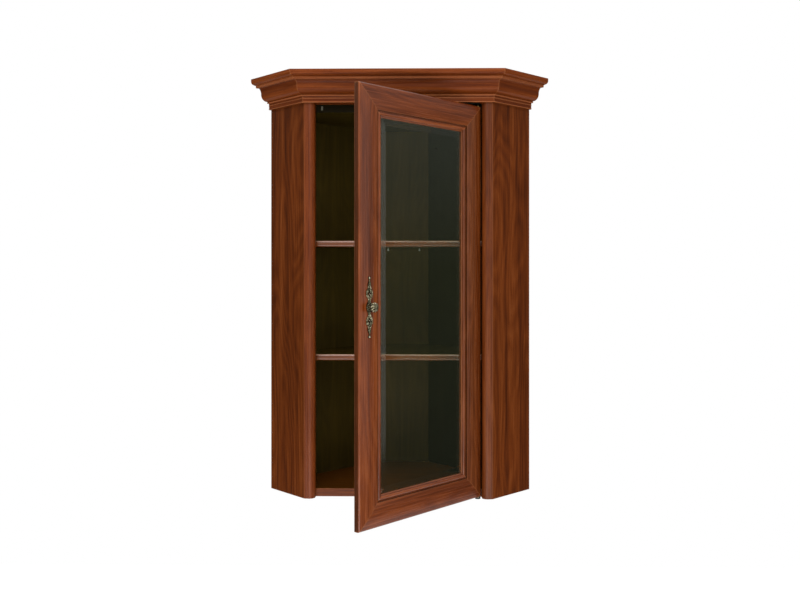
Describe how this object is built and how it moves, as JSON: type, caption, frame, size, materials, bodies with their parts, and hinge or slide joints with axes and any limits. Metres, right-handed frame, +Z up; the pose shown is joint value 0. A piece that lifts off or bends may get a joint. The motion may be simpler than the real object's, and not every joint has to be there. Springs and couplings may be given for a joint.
{
  "type": "corner wall cabinet",
  "caption": "Glazed corner wall cabinet with 45 degree sides, rounded corner posts, crown moulding, shelves and a framed glass door on pivots.",
  "frame": {"origin": "on the cabinet's underside, on its middle plane, in line with the rear edges of the two sides", "axes": "+X to the right seen from the room, +Y into the room's corner, +Z up"},
  "size_m": [0.8478, 0.7397, 1.18],
  "materials": {
    "stained_cherry": "satin",
    "dark_lined_board": "satin",
    "plain_softwood": "matt",
    "bevelled_glass": "polished",
    "antique_brass": "antiqued",
    "turned_brass": "turned",
    "zinc_plated_steel": "zinc plated",
    "nylon": "moulded",
    "pale_plastic": "moulded"
  },
  "bodies": {
    "carcase": {"back_left": "dark_lined_board", "back_right": "dark_lined_board", "bottom_board": "stained_cherry", "centre_back": "dark_lined_board", "cornice_blocks": "plain_softwood", "cornice_front": "stained_cherry", "cornice_left": "stained_cherry", "cornice_right": "stained_cherry", "door_buffer": "pale_plastic", "hanging_rail_left": "plain_softwood", "hanging_rail_right": "plain_softwood", "pivot_plate_bottom": "zinc_plated_steel", "pivot_plate_top": "zinc_plated_steel", "pivot_screws": "zinc_plated_steel", "pivot_washer": "nylon", "post_left": "stained_cherry", "post_right": "stained_cherry", "shelf_lower": "stained_cherry", "shelf_pins": "pale_plastic", "shelf_upper": "stained_cherry", "side_left": "stained_cherry", "side_right": "stained_cherry", "top_board": "stained_cherry"},
    "door": {"door_glass": "bevelled_glass", "door_rail_bottom": "stained_cherry", "door_rail_top": "stained_cherry", "door_stile_handle": "stained_cherry", "door_stile_hinge": "stained_cherry", "glazing_bead_bottom": "stained_cherry", "glazing_bead_handle": "stained_cherry", "glazing_bead_hinge": "stained_cherry", "glazing_bead_top": "stained_cherry", "handle_knob": "antique_brass", "handle_plate": "antique_brass", "handle_screw": "zinc_plated_steel", "pivot_bushes": "turned_brass"}
  },
  "joints": [
    {"name": "door_hinge", "type": "hinge", "parent": "carcase", "child": "door", "pos_m": [0.221, -0.10471, 0], "axis": [0, 0, 1], "range_deg": [-47.5, 62.5]}
  ]
}
